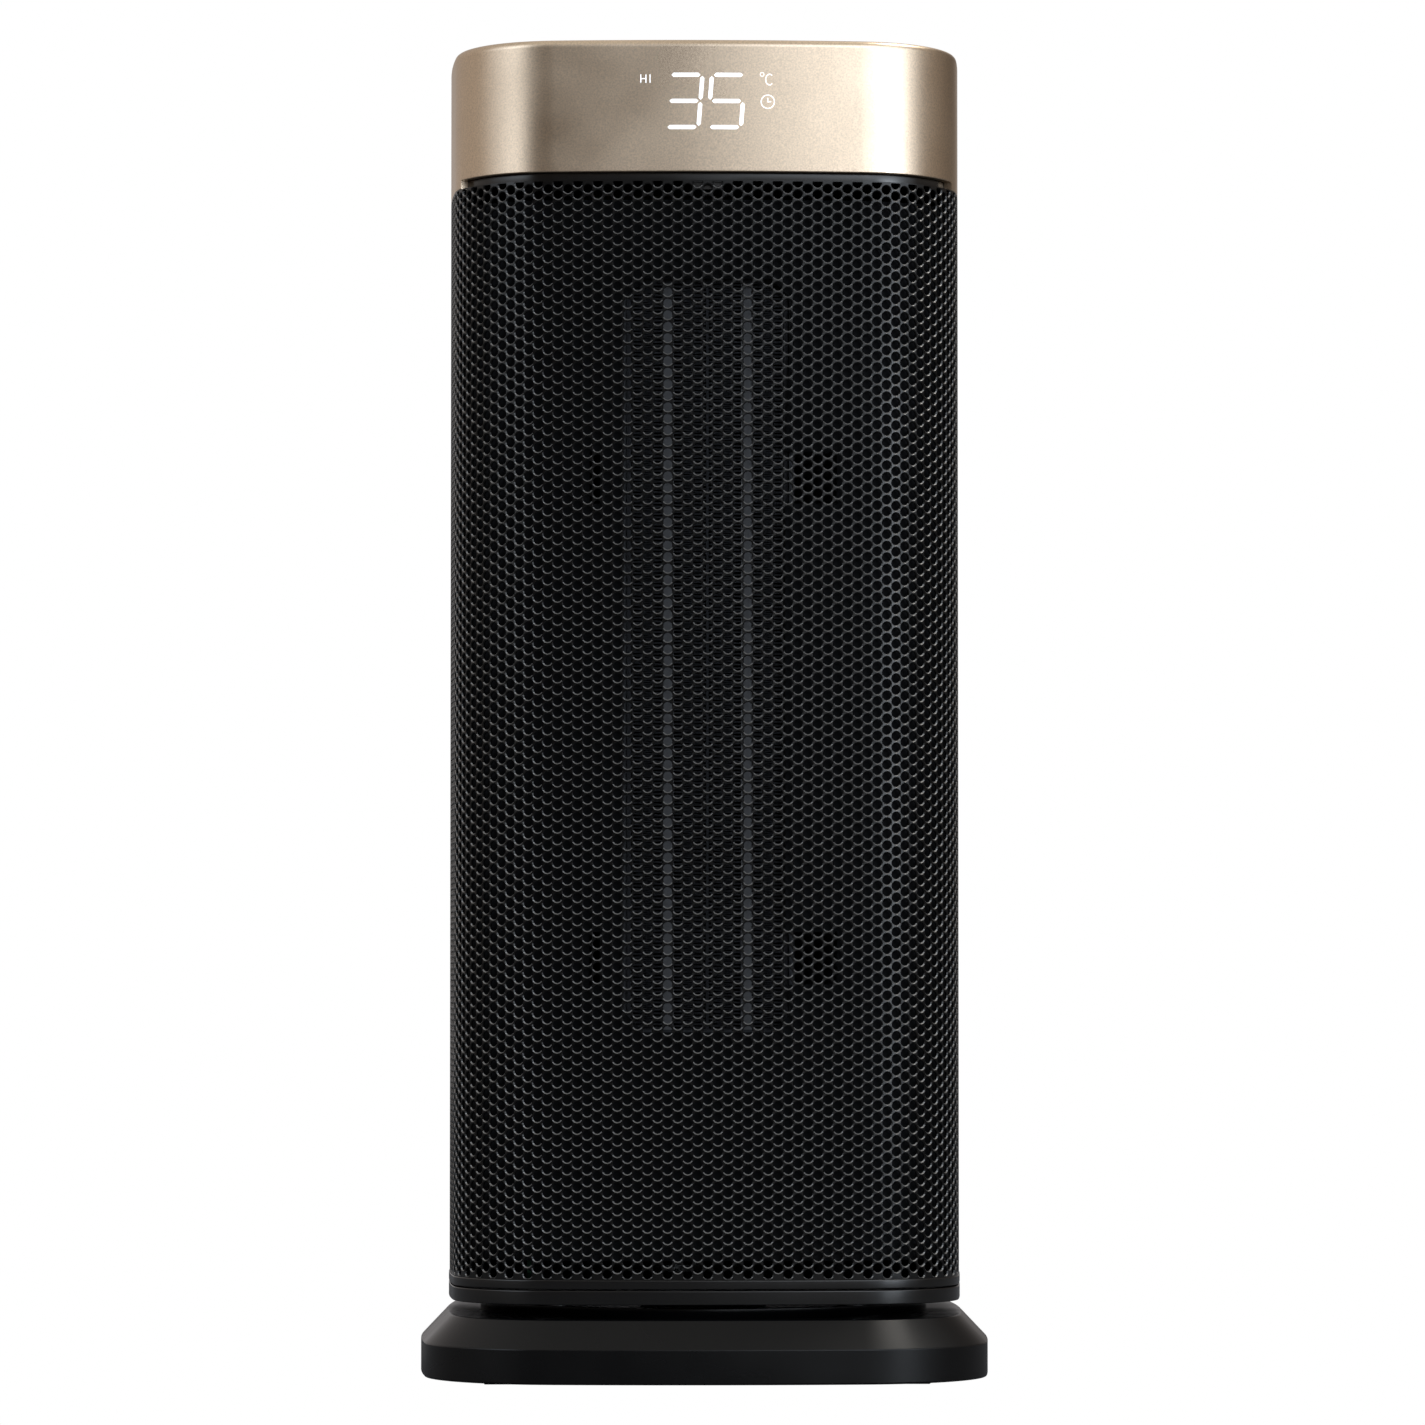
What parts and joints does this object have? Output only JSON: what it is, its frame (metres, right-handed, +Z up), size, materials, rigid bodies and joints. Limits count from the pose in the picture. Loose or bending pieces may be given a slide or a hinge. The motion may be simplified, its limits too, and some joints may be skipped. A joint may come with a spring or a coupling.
{
  "type": "ceramic tower space heater",
  "caption": "Tower-shaped ceramic space heater with a perforated wrap-round grille, gold cap with a digital display, push buttons on top and a body that swings on a wider square base.",
  "frame": {"origin": "on the floor under the middle of the base", "axes": "+Z up, the grille and display face -Y, +X is the viewer's right from the front"},
  "size_m": [0.2274, 0.2208, 0.5247],
  "materials": {
    "black_body": "satin black",
    "black_gloss": "polished black",
    "gold_cap": "satin champagne metallic paint",
    "grille_paint": "satin black powder coat",
    "inner_black": "matt black",
    "rubber_grey": "matt",
    "steel": "zinc plated",
    "iron": "raw",
    "white_nylon": "matt",
    "fin_aluminium": "mill",
    "ptc_ceramic": "matt",
    "shroud_resin": "matt heat-resistant resin",
    "terminal_brass": "tinned",
    "board_green": "solder mask",
    "motor_can": "satin",
    "filter_mesh": "woven",
    "button_black": "satin",
    "display_smoke": "smoked"
  },
  "bodies": {
    "base": {"base_shell": "black_body", "base_plate": "inner_black", "rubber_feet": "rubber_grey", "base_screws": "steel", "ballast_plates": "iron", "cord_inlet": "rubber_grey", "glide_pads": "white_nylon", "pivot_bush": "white_nylon", "tip_switch_housing": "inner_black", "swing_motor": "motor_can"},
    "tower": {"swing_gear": "white_nylon", "gear_retainer": "steel", "bottom_pan": "black_gloss", "lower_frame": "black_gloss", "front_grille": "grille_paint", "rear_shell": "black_body", "rear_screws": "steel", "intake_louvres": "black_body", "dust_filter": "filter_mesh", "outlet_panel": "inner_black", "element_shroud": "shroud_resin", "ptc_bars": "ptc_ceramic", "centre_electrode": "fin_aluminium", "element_rails": "fin_aluminium", "element_end_caps": "shroud_resin", "heat_fins": "fin_aluminium", "element_terminals": "terminal_brass", "thermal_cutout": "motor_can", "blower_housing": "inner_black", "bearing_plate": "inner_black", "upper_bearing": "white_nylon", "fan_motor": "motor_can", "motor_bracket": "steel", "power_board": "board_green", "temperature_sensor": "inner_black", "top_frame": "black_gloss", "cap_band": "gold_cap", "top_panel": "black_gloss", "control_board": "board_green", "display_housing": "display_smoke", "display_board": "board_green", "switch_housing": "black_gloss"},
    "drive_pinion": {"swing_pinion": "white_nylon"},
    "tip_over_plunger": {"tip_plunger": "white_nylon"},
    "blower_rotor": {"blower_wheel": "inner_black", "wheel_axle": "steel", "motor_shaft": "steel"},
    "rocker": {"power_rocker": "black_gloss"},
    "power_button_body": {"power_button": "button_black"},
    "mode_button_body": {"mode_button": "button_black"},
    "timer_button_body": {"timer_button": "button_black"},
    "swing_button_body": {"swing_button": "button_black"},
    "temperature_button_body": {"temperature_button": "button_black"}
  },
  "joints": [
    {"name": "tower_swing", "type": "hinge", "parent": "base", "child": "tower", "pos_m": [0, 0, 0.03], "axis": [0, 0, 1], "range_deg": [-35, 35]},
    {"name": "pinion_spin", "type": "hinge", "parent": "base", "child": "drive_pinion", "pos_m": [0, 0.054, 0.02], "axis": [0, 0, 1], "range_deg": [-175, 175]},
    {"name": "plunger_drop", "type": "slide", "parent": "base", "child": "tip_over_plunger", "axis": [0, 0, -1], "range_m": [0, 0.004], "stiffness_N_per_m": 60, "springref_m": 0.006},
    {"name": "blower_spin", "type": "hinge", "parent": "tower", "child": "blower_rotor", "pos_m": [0, 0.012, 0.28], "axis": [0, 0, 1], "continuous": true},
    {"name": "rocker_tilt", "type": "hinge", "parent": "tower", "child": "rocker", "pos_m": [0, 0.0965, 0.068], "axis": [1, 0, 0], "range_deg": [0, 20]},
    {"name": "power_button_press", "type": "slide", "parent": "tower", "child": "power_button_body", "axis": [0, 0, -1], "range_m": [0, 0.0008], "stiffness_N_per_m": 600, "springref_m": -0.001},
    {"name": "mode_button_press", "type": "slide", "parent": "tower", "child": "mode_button_body", "axis": [0, 0, -1], "range_m": [0, 0.0008], "stiffness_N_per_m": 600, "springref_m": -0.001},
    {"name": "timer_button_press", "type": "slide", "parent": "tower", "child": "timer_button_body", "axis": [0, 0, -1], "range_m": [0, 0.0008], "stiffness_N_per_m": 600, "springref_m": -0.001},
    {"name": "swing_button_press", "type": "slide", "parent": "tower", "child": "swing_button_body", "axis": [0, 0, -1], "range_m": [0, 0.0008], "stiffness_N_per_m": 600, "springref_m": -0.001},
    {"name": "temperature_button_press", "type": "slide", "parent": "tower", "child": "temperature_button_body", "axis": [0, 0, -1], "range_m": [0, 0.0008], "stiffness_N_per_m": 600, "springref_m": -0.001}
  ],
  "couplings": [
    {"joint": "pinion_spin", "follows": "tower_swing", "ratio": -5}
  ]
}
